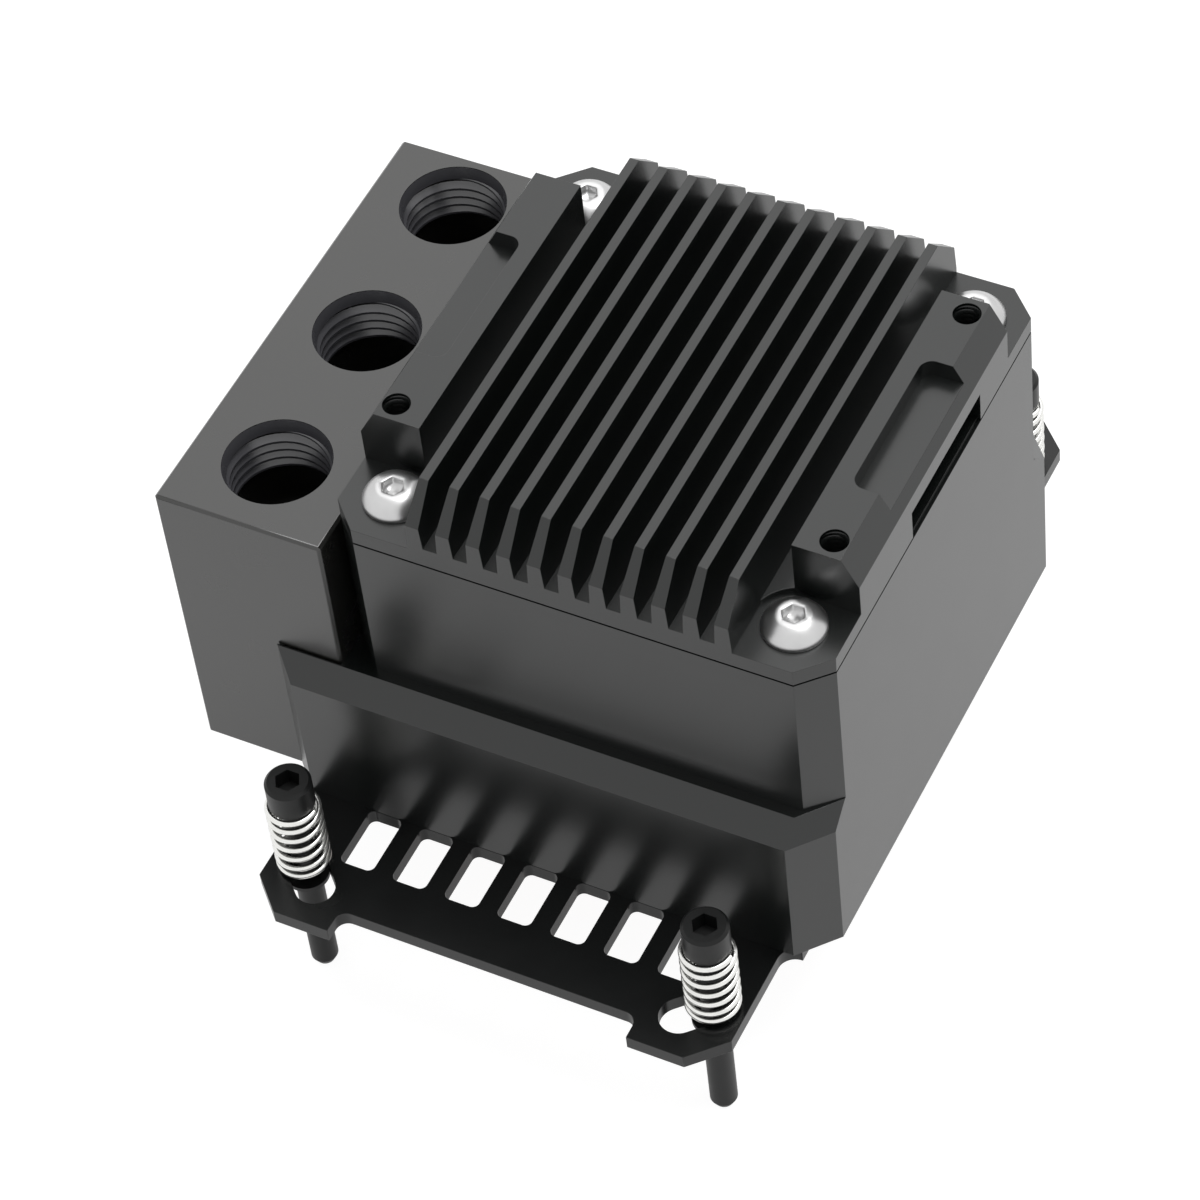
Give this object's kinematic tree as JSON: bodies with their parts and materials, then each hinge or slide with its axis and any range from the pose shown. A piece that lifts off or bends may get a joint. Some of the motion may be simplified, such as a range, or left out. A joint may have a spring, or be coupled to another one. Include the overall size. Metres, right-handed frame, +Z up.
{
  "type": "liquid cooling cold plate",
  "caption": "Black block with a finned lid, an inner coolant pump, a copper contact face, threaded hose ports along one side and sprung mounting screws on a slotted bracket.",
  "frame": {"origin": "centre of the copper contact face, which is also the centre of the rectangle of mounting screws", "axes": "+Z up from the contact face through the finned lid, -X towards the threaded hose ports, Y along the lid's fins"},
  "size_m": [0.0845, 0.1062, 0.0754],
  "materials": {
    "black_anodised": "satin black anodising on machined aluminium",
    "bracket_black": "satin black coated steel sheet",
    "bright_steel": "zinc plated fastener steel",
    "black_steel": "black oxide on screw steel",
    "spring_steel": "bright nickel plated spring wire",
    "copper": "fine machined copper",
    "seal_rubber": "moulded black seal rubber",
    "pump_plastic": "moulded black polymer",
    "core_steel": "laminated electrical steel",
    "winding": "enamelled copper winding",
    "magnet": "sintered magnet",
    "ceramic": "polished white ceramic",
    "board": "green solder mask on glass laminate",
    "pad": "soft grey heat pad"
  },
  "bodies": {
    "base": {"heatsink_lid": "black_anodised", "pump_housing": "black_anodised", "port_block": "black_anodised", "mounting_bracket": "bracket_black", "lid_screws": "bright_steel", "bracket_screws": "black_steel", "block_screws": "black_steel", "gallery_plug": "black_steel", "cold_plate": "copper", "jet_plate": "pump_plastic", "cold_plate_seal": "seal_rubber", "can_seal": "seal_rubber", "lid_gasket": "seal_rubber", "port_seal_1": "seal_rubber", "port_seal_2": "seal_rubber", "separator_can": "pump_plastic", "volute_floor": "pump_plastic", "stator_core": "core_steel", "stator_coil_1": "winding", "stator_coil_2": "winding", "stator_coil_3": "winding", "stator_coil_4": "winding", "stator_coil_5": "winding", "stator_coil_6": "winding", "bearing_pin": "ceramic", "circuit_board": "board", "thermal_pad": "pad", "mount_spring_1": "spring_steel", "mount_spring_2": "spring_steel", "mount_spring_3": "spring_steel", "mount_spring_4": "spring_steel"},
    "wheel": {"impeller": "pump_plastic", "rotor_magnet": "magnet"},
    "mount_screw_body_1": {"mount_screw_1": "black_steel", "mount_clip_1": "black_steel"},
    "mount_screw_body_2": {"mount_screw_2": "black_steel", "mount_clip_2": "black_steel"},
    "mount_screw_body_3": {"mount_screw_3": "black_steel", "mount_clip_3": "black_steel"},
    "mount_screw_body_4": {"mount_screw_4": "black_steel", "mount_clip_4": "black_steel"}
  },
  "joints": [
    {"name": "pump_wheel_spin", "type": "hinge", "parent": "base", "child": "wheel", "pos_m": [0.0059, 0, 0.0287], "axis": [0, 0, 1], "continuous": true},
    {"name": "mount_screw_slide_1", "type": "slide", "parent": "base", "child": "mount_screw_body_1", "axis": [0, 0, 1], "range_m": [-0.005, 0], "stiffness_N_per_m": 2000, "springref_m": 0.003, "deforming": ["mount_spring_1"]},
    {"name": "mount_screw_slide_2", "type": "slide", "parent": "base", "child": "mount_screw_body_2", "axis": [0, 0, 1], "range_m": [-0.005, 0], "stiffness_N_per_m": 2000, "springref_m": 0.003, "deforming": ["mount_spring_2"]},
    {"name": "mount_screw_slide_3", "type": "slide", "parent": "base", "child": "mount_screw_body_3", "axis": [0, 0, 1], "range_m": [-0.005, 0], "stiffness_N_per_m": 2000, "springref_m": 0.003, "deforming": ["mount_spring_3"]},
    {"name": "mount_screw_slide_4", "type": "slide", "parent": "base", "child": "mount_screw_body_4", "axis": [0, 0, 1], "range_m": [-0.005, 0], "stiffness_N_per_m": 2000, "springref_m": 0.003, "deforming": ["mount_spring_4"]}
  ]
}
